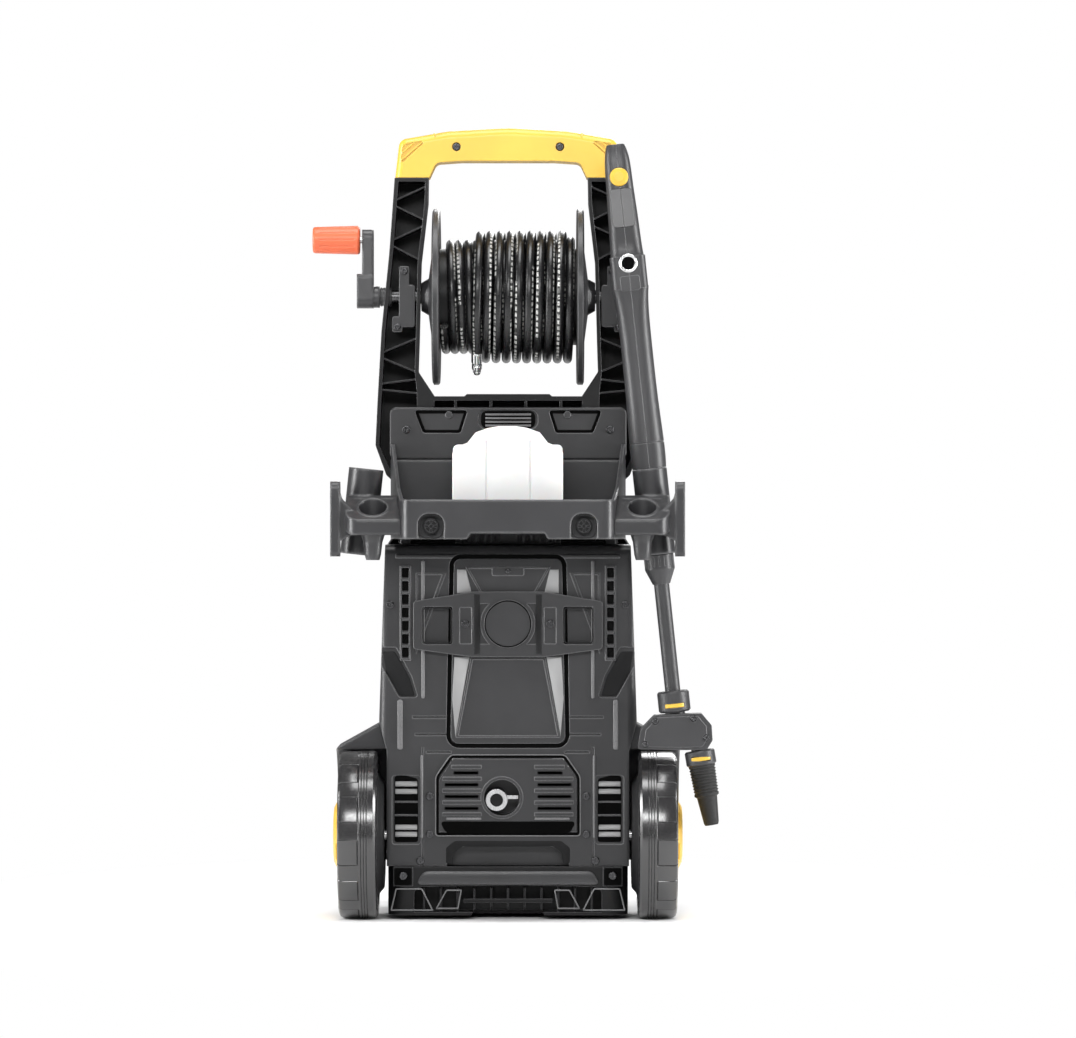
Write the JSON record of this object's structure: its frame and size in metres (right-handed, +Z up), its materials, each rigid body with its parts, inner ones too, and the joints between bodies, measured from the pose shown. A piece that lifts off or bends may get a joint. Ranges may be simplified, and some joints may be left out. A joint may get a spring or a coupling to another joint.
{
  "type": "pressure washer",
  "caption": "Upright electric pressure washer on two wheels, with a crank hose reel in the handle, a detergent tank, a spray gun with an angled lance, and holders at the rear.",
  "frame": {"origin": "on the floor, on the machine's middle plane, under the plane where the rear and front covers meet", "axes": "+Z up, -Y to the rear where the operator stands, +X to the operator's right, where the gun hangs"},
  "size_m": [0.4617, 0.3553, 0.8992],
  "materials": {
    "charcoal": "fine texture",
    "yellow": "satin",
    "orange": "satin",
    "white": "satin",
    "hose_rubber": "satin",
    "soft_rubber": "matt",
    "tyre": "matt",
    "steel": "brushed",
    "dark_screws": "blackened",
    "chrome": "bright",
    "cast_aluminium": "cast",
    "motor_can": "satin",
    "soft_grey": "matt"
  },
  "bodies": {
    "chassis": {"accessory_bracket": "charcoal", "axle": "steel", "base_frame": "charcoal", "basket": "charcoal", "bearing_blocks": "charcoal", "cable_gland": "charcoal", "cover_screws": "dark_screws", "fenders": "charcoal", "front_cover": "charcoal", "front_feet": "soft_rubber", "handle_frame": "charcoal", "handle_grip_front": "yellow", "handle_grip_rear": "yellow", "inlet_fitting": "chrome", "inlet_panel": "charcoal", "motor_housing": "motor_can", "plungers": "steel", "pump_body": "cast_aluminium", "rear_cover": "charcoal", "reel_swivel": "charcoal", "stator": "motor_can", "upper_rear_cover": "charcoal", "wing_left": "charcoal", "wing_right": "charcoal"},
    "wheel_left": {"wheel_left": "charcoal", "tyre_left": "tyre", "hubcap_left": "yellow"},
    "wheel_right": {"wheel_right": "charcoal", "tyre_right": "tyre", "hubcap_right": "yellow"},
    "reel": {"reel_drum": "charcoal", "reel_flanges": "charcoal", "reel_shaft": "steel", "hose_winding": "hose_rubber", "hose_tail": "hose_rubber", "hose_connector": "chrome", "crank_arm": "charcoal", "crank_pin": "steel"},
    "crank_grip": {"crank_grip": "orange"},
    "rotor": {"rotor": "steel", "cooling_fan": "charcoal", "wobble_plate": "steel"},
    "switch": {"switch_knob": "charcoal"},
    "tank": {"detergent_tank": "white"},
    "cap": {"tank_cap": "charcoal"},
    "gun": {"gun_shell_left": "charcoal", "gun_shell_right": "charcoal", "gun_panel": "soft_grey", "gun_barrel": "charcoal", "gun_inlet": "chrome"},
    "trigger": {"trigger": "charcoal"},
    "lock_button": {"lock_button": "yellow"},
    "lance": {"lance_collar": "charcoal", "lance_tube": "charcoal", "lance_ring": "charcoal", "angle_head": "charcoal", "head_cover": "charcoal", "head_screws": "dark_screws"},
    "nozzle": {"nozzle_ring": "charcoal", "nozzle": "soft_rubber"}
  },
  "joints": [
    {"name": "wheel_left_spin", "type": "hinge", "parent": "chassis", "child": "wheel_left", "pos_m": [-0.169, -0.075, 0.095], "axis": [1, 0, 0], "continuous": true},
    {"name": "wheel_right_spin", "type": "hinge", "parent": "chassis", "child": "wheel_right", "pos_m": [0.169, -0.075, 0.095], "axis": [1, 0, 0], "continuous": true},
    {"name": "reel_turn", "type": "hinge", "parent": "chassis", "child": "reel", "pos_m": [0, -0.025, 0.707], "axis": [1, 0, 0], "continuous": true},
    {"name": "crank_grip_spin", "type": "hinge", "parent": "reel", "child": "crank_grip", "pos_m": [-0.195, -0.025, 0.772], "axis": [1, 0, 0], "continuous": true},
    {"name": "motor_spin", "type": "hinge", "parent": "chassis", "child": "rotor", "pos_m": [0, 0.042, 0.3], "axis": [0, 0, 1], "continuous": true},
    {"name": "switch_turn", "type": "hinge", "parent": "chassis", "child": "switch", "pos_m": [0, 0.15, 0.3], "axis": [0, 1, 0], "range_deg": [0, 90]},
    {"name": "tank_lift", "type": "slide", "parent": "chassis", "child": "tank", "axis": [0, 0, 1], "range_m": [0, 0.045]},
    {"name": "cap_twist", "type": "hinge", "parent": "tank", "child": "cap", "pos_m": [0, -0.084, 0.548], "axis": [0, 0, 1], "range_deg": [0, 180]},
    {"name": "gun_lift", "type": "slide", "parent": "chassis", "child": "gun", "axis": [-0.1045, 0, 0.9945], "range_m": [0, 0.13]},
    {"name": "trigger_pull", "type": "hinge", "parent": "gun", "child": "trigger", "pos_m": [0.13359, -0.1, 0.75758], "axis": [0.9945, 0, 0.1045], "range_deg": [0, 10], "stiffness_Nm_per_rad": 1.5, "springref_deg": -5.73},
    {"name": "lock_press", "type": "slide", "parent": "gun", "child": "lock_button", "axis": [0, 1, 0], "range_m": [0, 0.002], "stiffness_N_per_m": 400, "springref_m": -0.001},
    {"name": "lance_twist", "type": "hinge", "parent": "gun", "child": "lance", "pos_m": [0.16976, -0.112, 0.41348], "axis": [-0.1045, 0, 0.9945], "range_deg": [0, 30]},
    {"name": "nozzle_twist", "type": "hinge", "parent": "lance", "child": "nozzle", "pos_m": [0.21587, -0.112, 0.19226], "axis": [0.165, 0, -0.9863], "range_deg": [0, 90]}
  ]
}
